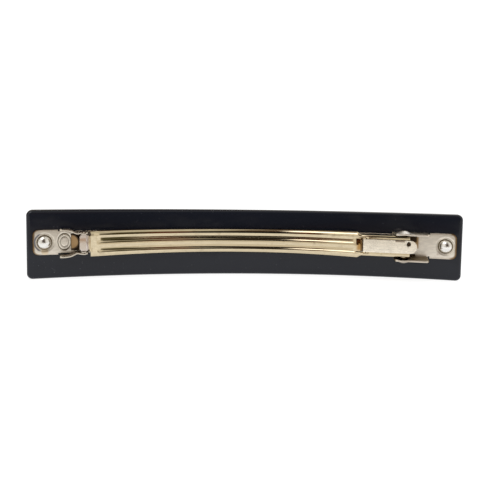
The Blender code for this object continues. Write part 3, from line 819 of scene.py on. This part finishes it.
class Tree:
    """Short calls for building one node tree."""

    def __init__(self, tree):
        self.tree = tree
        tree.nodes.clear()

    def add(self, kind, settings=None, **inputs):
        """A node with its settings and inputs; an input may be a value or a socket."""
        made = self.tree.nodes.new("ShaderNode" + kind)
        for name, value in (settings or {}).items():
            setattr(made, name, value)
        for name, value in inputs.items():
            self.put(made.inputs[name.replace("_", " ")], value)
        return made

    def put(self, socket, value):
        """Link a socket, or set its value."""
        if isinstance(value, bpy.types.NodeSocket):
            self.tree.links.new(value, socket)
        else:
            socket.default_value = value

    def fill(self, made, values):
        """Put values in a node's inputs, in order."""
        for socket, value in zip(made.inputs, values):
            self.put(socket, value)
        return made

    def maths(self, operation, *values):
        """A Math node's result."""
        return self.fill(self.add("Math", {"operation": operation}), values).outputs[0]

    def times(self, value, *others):
        """A product."""
        for other in others:
            value = self.maths("MULTIPLY", value, other)
        return value

    def diagonal(self, first, second):
        """The root of the sum of two squares."""
        squares = self.maths("ADD", self.times(first, first), self.times(second, second))
        return self.maths("SQRT", squares)

    def scaled(self, value, low, high, to_low=0.0, to_high=1.0, curve="SMOOTHSTEP"):
        """Value carried from low..high to to_low..to_high."""
        made = self.add("MapRange", {"interpolation_type": curve})
        return self.fill(made, (value, low, high, to_low, to_high)).outputs[0]

    def blend(self, share, first, second, kind="MIX"):
        """A colour between first and second."""
        made = self.add("Mix", {"data_type": "RGBA", "blend_type": kind})
        for index, value in ((0, share), (6, first), (7, second)):
            self.put(made.inputs[index], value)
        return made.outputs[2]

    def ramp(self, value, spans):
        """A colour that holds over each (start, end, colour) span and fades between them."""
        stops = [(edge, paint) for start, end, paint in spans for edge in (start, end)]
        low, high = stops[0][0], stops[-1][0]
        made = self.add("ValToRGB", Fac=self.scaled(value, low, high, curve="LINEAR"))
        points = made.color_ramp.elements
        points[0].color = stops[0][1]
        points[1].color = stops[-1][1]
        for position, paint in stops[1:-1]:
            points.new((position - low) / (high - low)).color = paint
        return made.outputs[0]

    def noise(self, place, scale, detail=2.0, roughness=0.5, stretch=(1.0, 1.0, 1.0)):
        """A noise value, stretched by scaling the place it is read at."""
        moved = self.add("Mapping", Vector=place, Scale=stretch)
        made = self.add("TexNoise", Vector=moved.outputs[0], Scale=scale, Detail=detail,
                        Roughness=roughness)
        return made.outputs[0]

    def finish(self, shader, kind="OutputMaterial"):
        """Make a shader the tree's surface."""
        self.add(kind, Surface=shader.outputs[0])


def colour(red, green, blue):
    """A linear colour with full alpha."""
    return (red, green, blue, 1.0)


def new_tree(name):
    """A new material and its empty node tree."""
    material = bpy.data.materials.new(name)
    material.use_nodes = True
    return material, Tree(material.node_tree)


def hidden_share(tree, reach, low, high):
    """0 in the open, and 1 where other surfaces within reach close a spot in."""
    open_share = tree.add("AmbientOcclusion", {"samples": 6}, Distance=reach)
    return tree.scaled(open_share.outputs["AO"], high, low)


def layout(tree, place):
    """The station, stand-off and height of a place, in the flat layout."""
    across, back, up = tree.add("SeparateXYZ", Vector=place).outputs
    deep = tree.maths("ADD", back, BACK_RADIUS + BAR_THICKNESS / 2)
    stand_off = tree.maths("SUBTRACT", BACK_RADIUS, tree.diagonal(across, deep))
    station = tree.times(tree.maths("ARCTAN2", across, deep), BACK_RADIUS)
    lowered = tree.scaled(station, *HINGE_DROP_SPAN, 0.0, HINGE_DROP)
    height = tree.maths("SUBTRACT", tree.maths("ADD", up, lowered), CLASP_HEIGHT)
    return station, stand_off, height


def reach_from(tree, place, centre, radii):
    """The distance from a (station, height) centre, in units of the two radii."""
    station, _, height = layout(tree, place)
    along = tree.maths("DIVIDE", tree.maths("SUBTRACT", station, centre[0]), radii[0])
    up = tree.maths("DIVIDE", tree.maths("SUBTRACT", height, centre[1]), radii[1])
    return tree.diagonal(along, up)


def between(tree, value, limits, soft):
    """1 between two limits and 0 beyond them, with soft ends; limits and soft are in mm."""
    low, high = limits
    return tree.times(tree.scaled(value, (low - soft) * MM, (low + soft) * MM),
                      tree.scaled(value, (high + soft) * MM, (high - soft) * MM))


def patch(tree, place, stations, heights, soft, stand_offs=(0.0, 10.0)):
    """A mark over a soft-edged block of the flat layout, in mm."""
    limits = (stations, stand_offs, heights)
    return tree.times(*(between(tree, value, pair, soft)
                        for value, pair in zip(layout(tree, place), limits)))


def disc(tree, place, station, height, radius):
    """A mark over a round spot, in mm."""
    reach = reach_from(tree, place, (station * MM, height * MM), (MM, MM))
    return tree.scaled(reach, radius, 0.7 * radius)


def ring(tree, place, station, radius, width):
    """A mark along a circle about the centre line, in mm."""
    reach = reach_from(tree, place, (station * MM, 0.0), (MM, MM))
    away = tree.maths("ABSOLUTE", tree.maths("SUBTRACT", reach, radius))
    return tree.scaled(away, width, 0.4 * width)


def crescent(tree, place):
    """A mark on the far side of the left rivet."""
    return tree.times(ring(tree, place, -47.0, 2.08, 0.24),
                      patch(tree, place, (-49.6, -47.9), (-2.0, 2.0), 0.3))


def groove_dark_reflection(tree, place):
    """1 in the catch ends of the arm's flutes, fading out along them: where painted dark
    reflection goes.
    """
    station, _, height = layout(tree, place)
    from_low = tree.maths("DIVIDE", tree.maths("SUBTRACT", station, ARM_LOW_STATION),
                          ARM_SHOULDER - ARM_LOW_STATION)
    towards_catch = tree.maths("MINIMUM", from_low, 0.0)
    sag = tree.times(towards_catch, towards_catch, ARM_SAG[-1])
    level = tree.maths("ADD", height, sag)
    floors = [between(tree, level, limits, GROOVE_DARK_SOFT) for limits in GROOVE_DARK_HEIGHTS]
    return tree.times(tree.maths("MAXIMUM", *floors),
                      *(tree.scaled(station, *end) for end in GROOVE_DARK_ENDS))


def rim_reflection_share(tree, place):
    """1 along the base plate's rounded outline, and 0 a little way inside it: the band of
    painted dark reflection inside the rim.
    """
    station, _, height = layout(tree, place)
    along = tree.maths("SUBTRACT", tree.maths("ABSOLUTE", station),
                       PLATE_HALF_LENGTH - PLATE_CORNER)
    across = tree.maths("SUBTRACT", tree.maths("ABSOLUTE", height),
                        PLATE_HALF_WIDTH - PLATE_CORNER)
    reach = tree.diagonal(tree.maths("MAXIMUM", along, 0.0), tree.maths("MAXIMUM", across, 0.0))
    rim = tree.scaled(reach, PLATE_CORNER - 0.6 * MM, PLATE_CORNER - 0.12 * MM)
    return tree.times(rim, tree.scaled(along, -0.6 * MM, 0.3 * MM, 0.3, 1.0))


def oval_share(tree, place):
    """1 in the two plain oval lines of the stamp on the left pad."""
    reach = reach_from(tree, place, (STAMP_STATION, STAMP_HEIGHT), STAMP_RADII)
    lines = []
    for size, _, _, stain in STAMP_LINES:
        away = tree.maths("ABSOLUTE", tree.maths("SUBTRACT", reach, size))
        lines.append(tree.scaled(away, 0.03, 0.11, stain, 0.0))
    return tree.maths("MAXIMUM", *lines)


def leaf_tip_shadow(tree, place):
    """1 along the leaf's round tip, where the painted shadow under the tip goes."""
    radii = ((LEAF_TIP - LEAF_START) / math.sqrt(LEAF_TAPER), LEAF_HALF_WIDTH)
    reach = reach_from(tree, place, (LEAF_START, 0.0), radii)
    return tree.times(tree.scaled(reach, 0.74, 0.92), patch(tree, place, *LEAF_AREA))


def metal(name, base, tarnish_and_shade, roughness, grime_and_shade=0.5, grain=0.3, shade=0.0, marks=()):
    """A plated metal: rolled streaks, a fine grain, worn edges, tarnished spots, and corners
    that are tarnished and darkened by painted shade.

    grime_and_shade is how strong the tarnished spots and the painted shade in corners are, and
    shade how much painted shade darkens wide hollows. A mark is a function that gives the share
    of a stain or of painted light at a place, its colour, and the function's limits.
    """
    material, tree = new_tree(name)
    place = tree.add("TexCoord").outputs["Object"]
    cloud = tree.noise(place, 420.0, 4.0, 0.6)
    blot = tree.noise(place, 1500.0, 3.0, 0.6)
    streak = tree.noise(place, 2600.0, 3.0, 0.6, (0.06, 1.0, 1.0))
    pit = tree.noise(place, 5200.0, 2.0, 0.5)
    # corners darken towards the tarnish_and_shade colour: partly tarnish, partly painted shade,
    # such as the dish shadows round the rivets
    corner = tree.times(hidden_share(tree, 0.6 * MM, 0.3, 0.8), grime_and_shade)
    spots = tree.scaled(cloud, 0.56, 0.74, 0.0, 0.5 * grime_and_shade)
    specks = tree.scaled(blot, 0.66, 0.74, 0.0, 0.5 * grime_and_shade)
    share = tree.maths("MAXIMUM", tree.maths("MAXIMUM", corner, spots), specks)
    worn = tuple(0.86 * part for part in base[:3]) + (1.0,)
    tinted = tree.blend(tree.scaled(streak, 0.3, 0.7), base, worn)
    for mark, stain, *limits in marks:
        tinted = tree.blend(mark(tree, place, *limits), tinted, stain)
    paint = tree.blend(share, tinted, tarnish_and_shade)
    if shade:
        hollow = tree.times(hidden_share(tree, 4.0 * MM, 0.1, 0.6), shade)
        paint = tree.blend(hollow, paint, SHADE)
    rough = tree.maths("ADD", tree.times(streak, 0.4 * roughness), 0.8 * roughness)
    rough = tree.maths("ADD", rough, tree.times(share, 0.15))
    relief = tree.maths("ADD", tree.times(streak, 0.7), tree.times(pit, 0.5))
    rounded = tree.add("Bevel", {"samples": 4}, Radius=0.05 * MM)
    bump = tree.add("Bump", Strength=0.35 * grain, Distance=0.012 * MM, Height=relief,
                    Normal=rounded.outputs[0])
    shader = tree.add("BsdfPrincipled", Base_Color=paint, Metallic=1.0, Roughness=rough,
                      Normal=bump.outputs[0])
    tree.finish(shader)
    return material


def acetate():
    """Black polished acetate: slight waves, fine scratches, dust and a few smudges."""
    material, tree = new_tree("black_acetate_polished")
    place = tree.add("TexCoord").outputs["Object"]
    wave_height = tree.noise(place, 70.0, 1.0, 0.4, (0.5, 1.0, 1.0))
    scratch = tree.noise(place, 1800.0, 2.0, 0.6, (0.05, 1.0, 1.0))
    smear = tree.noise(place, 160.0, 3.0, 0.6, (0.6, 1.0, 1.6))
    specks = tree.scaled(tree.noise(place, 2400.0, 1.0, 0.5), 0.745, 0.785, 0.0, 0.25)
    smudge = tree.scaled(tree.noise(place, 300.0, 3.0, 0.7), 0.66, 0.8, 0.0, 0.12)
    paint = tree.blend(tree.maths("MAXIMUM", specks, smudge), colour(0.0086, 0.0096, 0.0142),
                       colour(0.16, 0.16, 0.17))
    rough = tree.maths("ADD", tree.scaled(smear, 0.45, 0.75, 0.05, 0.2),
                       tree.times(scratch, 0.05))
    relief = tree.maths("ADD", wave_height, tree.times(scratch, 0.012))
    bump = tree.add("Bump", Strength=0.3, Distance=0.05 * MM, Height=relief)
    shader = tree.add("BsdfPrincipled", Base_Color=paint, Roughness=rough, IOR=1.35,
                      Normal=bump.outputs[0])
    tree.finish(shader)
    return material


# ---- the studio

SHADE = colour(0.03, 0.022, 0.014)
PALE = colour(0.95, 0.92, 0.86)
DIM = colour(0.48, 0.43, 0.36)
TABLE_EDGE = colour(0.55, 0.36, 0.22)
RED_BROWN = colour(0.15, 0.065, 0.035)
OLIVE = colour(0.075, 0.06, 0.025)
BLACK = colour(0.02, 0.019, 0.016)
BEHIND = colour(0.2, 0.19, 0.16)
BEHIND_LEFT = colour(0.45, 0.41, 0.33)
BEHIND_RIGHT = colour(1.0, 0.98, 0.95)
OVERHEAD = colour(0.11, 0.07, 0.045)
OVERHEAD_SIDE = colour(0.72, 0.7, 0.62)
SOFTBOX = colour(3.0, 3.0, 3.0)
FLOOR_WHITE = colour(1.1, 1.1, 1.1)
FLOOR_BEIGE = colour(0.9, 0.85, 0.76)

ROOM = (  # what reflections show between two azimuths, in degrees
    (-180.0, -165.0, BEHIND),
    (-150.0, -95.0, BEHIND_LEFT),
    (-80.0, -17.0, PALE),
    (-14.0, -10.0, RED_BROWN),
    (-8.0, 11.0, BLACK),
    (13.5, 19.0, RED_BROWN),
    (22.0, 28.0, OLIVE),
    (33.0, 90.0, PALE),
    (105.0, 155.0, BEHIND_RIGHT),
    (172.0, 180.0, BEHIND),
)
LOW_ROOM = ROOM[:2] + ((-80.0, -35.0, PALE), (-28.0, -17.0, DIM)) + ROOM[3:]
CEILING = (
    (-180.0, -165.0, OVERHEAD),
    (-150.0, -100.0, OVERHEAD_SIDE),
    (-80.0, -18.0, PALE),
    (-10.0, 3.0, OVERHEAD),
    (12.0, 90.0, OVERHEAD_SIDE),
    (105.0, 160.0, PALE),
    (172.0, 180.0, OVERHEAD),
)

CEILING_RISE = (40.0, 56.0)  # elevations, in degrees, between which the room ends
SOFTBOX_SIDES = ((-6.5, -11.0), (-78.0, -70.0))  # azimuths: where each edge starts and ends
SOFTBOX_ENDS = ((41.0, 48.0), (78.0, 70.0))  # the same, for elevations

CAMERA_TARGET = Vector((-0.727, -5.755, 7.756)) * MM
CAMERA_DISTANCE = 124.159 * MM
CAMERA_ANGLES = (-2.97, 7.75, 3.983, 0.833)  # azimuth, elevation, tilt and roll, degrees
CAMERA_LENS = 38.51  # mm
SENSOR_WIDTH = 36.0  # mm
SKY_LIGHT = 1.12  # brightness of the even light that falls on matt surfaces
STAGE_REACH = 1.5
CARD_LIFT = 0.02 * MM
CARD_START = -45.0 * MM  # the floor's reflection starts to dim here
CARD_BEIGE = -60.0 * MM
CARD_END = -72.0 * MM  # the floor ends here
CARD_DARK = -80.0 * MM  # a brown table edge
CARD_ROOM = -90.0 * MM  # and the room behind it
FOCUS = -68.0 * MM  # where the bowed clasp's reflected rays cross


def add_stage(name, far_edge, level, material):
    """A level sheet of the studio that reaches back to far_edge."""
    mesh = bpy.data.meshes.new(name)
    corners = [(-STAGE_REACH, -STAGE_REACH, level), (STAGE_REACH, -STAGE_REACH, level),
               (STAGE_REACH, far_edge, level), (-STAGE_REACH, far_edge, level)]
    mesh.from_pydata(corners, [], [(0, 1, 2, 3)])
    mesh.materials.append(material)
    material.cycles.emission_sampling = "NONE"
    thing = show(name, mesh)
    return thing


def floor_material():
    """A pale, softly lit floor that keeps only a faint shadow."""
    material, tree = new_tree("pale_floor")
    diffuse = tree.add("BsdfDiffuse", Color=colour(0.3, 0.3, 0.3))
    glow = tree.add("Emission", Color=colour(1.0, 1.0, 1.0), Strength=0.83)
    both = (diffuse.outputs[0], glow.outputs[0])
    tree.finish(tree.fill(tree.add("AddShader"), both))
    return material


def azimuth_of(tree, across, back):
    """The azimuth, in degrees, of a direction that goes across to the right and back."""
    return tree.maths("DEGREES", tree.maths("ARCTAN2", across, back))


def card_material():
    """The floor's far part, which only reflections see: white, then beige, then a dim room."""
    material, tree = new_tree("dim_card")
    spot = tree.add("NewGeometry").outputs["Position"]
    across, back, _ = tree.add("SeparateXYZ", Vector=spot).outputs
    past_focus = tree.maths("SUBTRACT", FOCUS, back)
    room = tree.ramp(azimuth_of(tree, across, past_focus), LOW_ROOM)
    near = tree.blend(tree.scaled(back, CARD_START, CARD_BEIGE), FLOOR_WHITE, FLOOR_BEIGE)
    stained = tree.blend(tree.scaled(back, CARD_ROOM, CARD_DARK), room, TABLE_EDGE, "MULTIPLY")
    paint = tree.blend(tree.scaled(back, CARD_END, CARD_DARK), near, stained)
    tree.finish(tree.add("Emission", Color=paint, Strength=1.0))
    return material


def make_world():
    """White to the camera, even for lighting, and a studio with a softbox in reflections."""
    world = bpy.data.worlds.new("studio")
    bpy.context.scene.world = world
    world.use_nodes = True
    tree = Tree(world.node_tree)
    way = tree.add("TexCoord").outputs["Generated"]
    across, away, up = tree.add("SeparateXYZ", Vector=way).outputs
    azimuth = azimuth_of(tree, across, tree.times(away, -1.0))
    height = tree.maths("DEGREES", tree.maths("ARCSINE", up))
    room = tree.blend(tree.scaled(height, *CEILING_RISE), tree.ramp(azimuth, ROOM),
                      tree.ramp(azimuth, CEILING))
    wide = [tree.scaled(azimuth, *edge) for edge in SOFTBOX_SIDES]
    tall = [tree.scaled(height, *edge) for edge in SOFTBOX_ENDS]
    room = tree.blend(tree.times(*wide, *tall), room, SOFTBOX)
    reflected = tree.add("Background", Color=room, Strength=1.0)
    even = tree.add("Background", Color=colour(1.0, 1.0, 1.0), Strength=SKY_LIGHT)
    glossy = tree.add("LightPath").outputs["Is Glossy Ray"]
    choice = tree.fill(tree.add("MixShader"), (glossy, even.outputs[0], reflected.outputs[0]))
    tree.finish(choice, "OutputWorld")
    world.cycles.sampling_method = "NONE"


def make_studio():
    """The floor, the reflected card and the world."""
    add_stage("floor", STAGE_REACH, 0.0, floor_material())
    card = add_stage("dim_card", CARD_START, CARD_LIFT, card_material())
    card.visible_camera = False
    card.visible_diffuse = False
    card.visible_shadow = False
    make_world()


def heading(azimuth, elevation):
    """The direction from the object towards a camera."""
    level = math.cos(elevation)
    return Vector((math.sin(azimuth) * level, -math.cos(azimuth) * level, math.sin(elevation)))


def make_camera():
    """A level-backed camera: it looks down less than it stands high, and the lens is shifted."""
    azimuth, elevation, tilt, roll = (math.radians(angle) for angle in CAMERA_ANGLES)
    spot = CAMERA_TARGET + heading(azimuth, elevation) * CAMERA_DISTANCE
    back = heading(azimuth, tilt)
    right = Vector((math.cos(azimuth), math.sin(azimuth), 0.0))
    up = back.cross(right)
    rolled_right = right * math.cos(roll) + up * math.sin(roll)
    rolled_up = up * math.cos(roll) - right * math.sin(roll)
    data = bpy.data.cameras.new("camera")
    data.lens = CAMERA_LENS
    data.sensor_width = SENSOR_WIDTH
    data.clip_start = MM
    data.clip_end = 10.0
    sight = CAMERA_TARGET - spot
    away = -sight.dot(back)
    data.shift_x = CAMERA_LENS / SENSOR_WIDTH * sight.dot(rolled_right) / away
    data.shift_y = CAMERA_LENS / SENSOR_WIDTH * sight.dot(rolled_up) / away
    camera = show("camera", data)
    axes = Matrix((rolled_right, rolled_up, back)).transposed().to_4x4()
    camera.matrix_world = Matrix.Translation(spot) @ axes
    bpy.context.scene.camera = camera


# painted dark reflection in the band just inside the base plate's rounded rim
RIM_REFLECTION_BROWN = colour(0.2, 0.12, 0.05)
STAMP_BROWN = colour(0.08, 0.06, 0.028)
# painted shade on the ejector leaf
LEAF_SHADE_BROWN = colour(0.34, 0.22, 0.11)
# painted shadow under the leaf's round tip
LEAF_TIP_SHADOW = colour(0.06, 0.04, 0.025)
# painted shade between the hinge ears and the tail's end, and in the tail's pit
DEEP_SHADE_BROWN = colour(0.045, 0.03, 0.018)
# painted shadow under the tail's round end
TAIL_END_SHADOW = colour(0.36, 0.24, 0.12)
# painted dark reflection on the lower hinge ear
LOWER_EAR_REFLECTION_BROWN = colour(0.32, 0.25, 0.15)
# painted shadow ring in the dishes round the rivets
RIVET_RING_SHADOW = colour(0.1, 0.085, 0.045)
BLUE_GREY = colour(0.2, 0.2, 0.22)
PALE_STAIN = colour(0.74, 0.62, 0.45)
# painted reflection of the hinge boss on the tail
BOSS_REFLECTION_GREY = colour(0.34, 0.28, 0.22)
# painted highlight on the upper hinge ear
UPPER_EAR_HIGHLIGHT = colour(1.0, 0.98, 0.95)
# painted dark reflection in the catch ends of the flutes
GROOVE_DARK_REFLECTION = colour(0.13, 0.11, 0.05)
TONGUE_GREY = colour(0.64, 0.58, 0.54)
# painted shade where the ribs sink towards the window
FUNNEL_SHADE_BROWN = colour(0.38, 0.22, 0.08)
# painted shade on the strip where it shows through the slot
SLOT_SHADE_BROWN = colour(0.25, 0.15, 0.06)

# The marks' own lengths are in mm
LEAF_AREA = ((-41.3, -39.25), (-1.9, 1.9), 0.08)
GROOVE_DARK_HEIGHTS = ((0.69, 1.4), (-1.42, -1.1))
GROOVE_DARK_SOFT = 0.11
GROOVE_DARK_ENDS = ((-34.9 * MM, -34.5 * MM), (-23.0 * MM, -31.0 * MM))
PLATE_MARKS = (
    # painted dark reflection inside the rim
    (rim_reflection_share, RIM_REFLECTION_BROWN),
    (oval_share, STAMP_BROWN),
    # painted shade on the leaf
    (patch, LEAF_SHADE_BROWN, *LEAF_AREA),
    # painted shadow under the leaf's tip
    (leaf_tip_shadow, LEAF_TIP_SHADOW),
    (crescent, BLUE_GREY),
    (disc, PALE_STAIN, -46.9, -2.1, 0.9),
    # painted shadow rings round the rivets
    (ring, RIVET_RING_SHADOW, -47.0, 1.54, 0.18),
    (ring, RIVET_RING_SHADOW, 47.0, 1.56, 0.2),
    # painted shadow under the tail's round end
    (patch, TAIL_END_SHADOW, (39.6, 40.95), (-0.8, 2.0), 0.25),
    # painted shade beside the hinge, above and below the tail's end
    (patch, DEEP_SHADE_BROWN, (37.6, 40.55), (0.75, 2.4), 0.2, (0.0, 1.2)),
    (patch, DEEP_SHADE_BROWN, (38.4, 40.3), (-2.7, -2.1), 0.15, (0.0, 1.2)),
    # painted dark reflection on the lower ear
    (patch, LOWER_EAR_REFLECTION_BROWN, (34.9, 43.1), (-3.5, -2.4), 0.06, (0.8, 4.75)),
    # painted highlight on the upper ear
    (patch, UPPER_EAR_HIGHLIGHT, (35.2, 39.5), (3.0, 3.9), 0.12, (3.9, 5.1)),
)
ARM_MARKS = (
    # a greyer colour over the tongue
    (patch, TONGUE_GREY, (-41.0, -37.45), (-3.0, 3.0), 0.12),
    # painted shade in the funnel
    (patch, FUNNEL_SHADE_BROWN, (26.2, 27.75), (-1.3, 1.5), 0.45),
    # painted dark reflection in the flutes
    (groove_dark_reflection, GROOVE_DARK_REFLECTION),
)
TAIL_MARKS = (
    # painted reflection of the hinge boss
    (patch, BOSS_REFLECTION_GREY, (35.1, 37.3), (1.1, 2.0), 0.15),
    # painted shade in the pit
    (disc, DEEP_SHADE_BROWN, 38.2, 0.68, 0.58),
)
STRIP_MARKS = (
    # painted shade on the strip in the slot
    (patch, SLOT_SHADE_BROWN, (25.0, 29.0), (-2.4, 2.4), 0.2),
)


def main():
    """Build every piece, the studio and the camera."""
    gilt = metal("gilt_worn", colour(0.66, 0.56, 0.385), colour(0.14, 0.08, 0.04),
                 roughness=0.055, grain=0.2, marks=ARM_MARKS)
    nickel = metal("nickel_worn", colour(0.84, 0.78, 0.68), colour(0.2, 0.12, 0.05),
                   roughness=0.36, grime_and_shade=0.9, shade=0.95, marks=PLATE_MARKS)
    prong = metal("prong_nickel", colour(0.62, 0.56, 0.47), colour(0.14, 0.09, 0.05),
                  roughness=0.24, grime_and_shade=0.9, shade=0.8)
    strip = metal("strip_bright", colour(0.78, 0.71, 0.58), colour(0.3, 0.22, 0.13),
                  roughness=0.2, grime_and_shade=0.4, marks=STRIP_MARKS)
    tail = metal("tail_satin", colour(0.93, 0.86, 0.73), colour(0.07, 0.05, 0.03),
                 roughness=0.26, grime_and_shade=0.9, marks=TAIL_MARKS)
    chrome = metal("rivet_polished", colour(0.82, 0.8, 0.76), colour(0.25, 0.22, 0.18),
                   roughness=0.24, grime_and_shade=0.3, grain=0.2)
    make_bar(acetate())
    make_base_plate(nickel)
    for end, station in (("left", -RIVET_STATION), ("right", RIVET_STATION)):
        make_rivet(end, station, chrome)
    for end, side in (("upper", 1), ("lower", -1)):
        make_prong(end, side, prong)
    make_arm(gilt)
    make_tension_spring(strip)
    make_spring_tail(tail)
    make_studio()
    make_camera()
    bpy.context.scene.view_settings.view_transform = "Standard"


main()
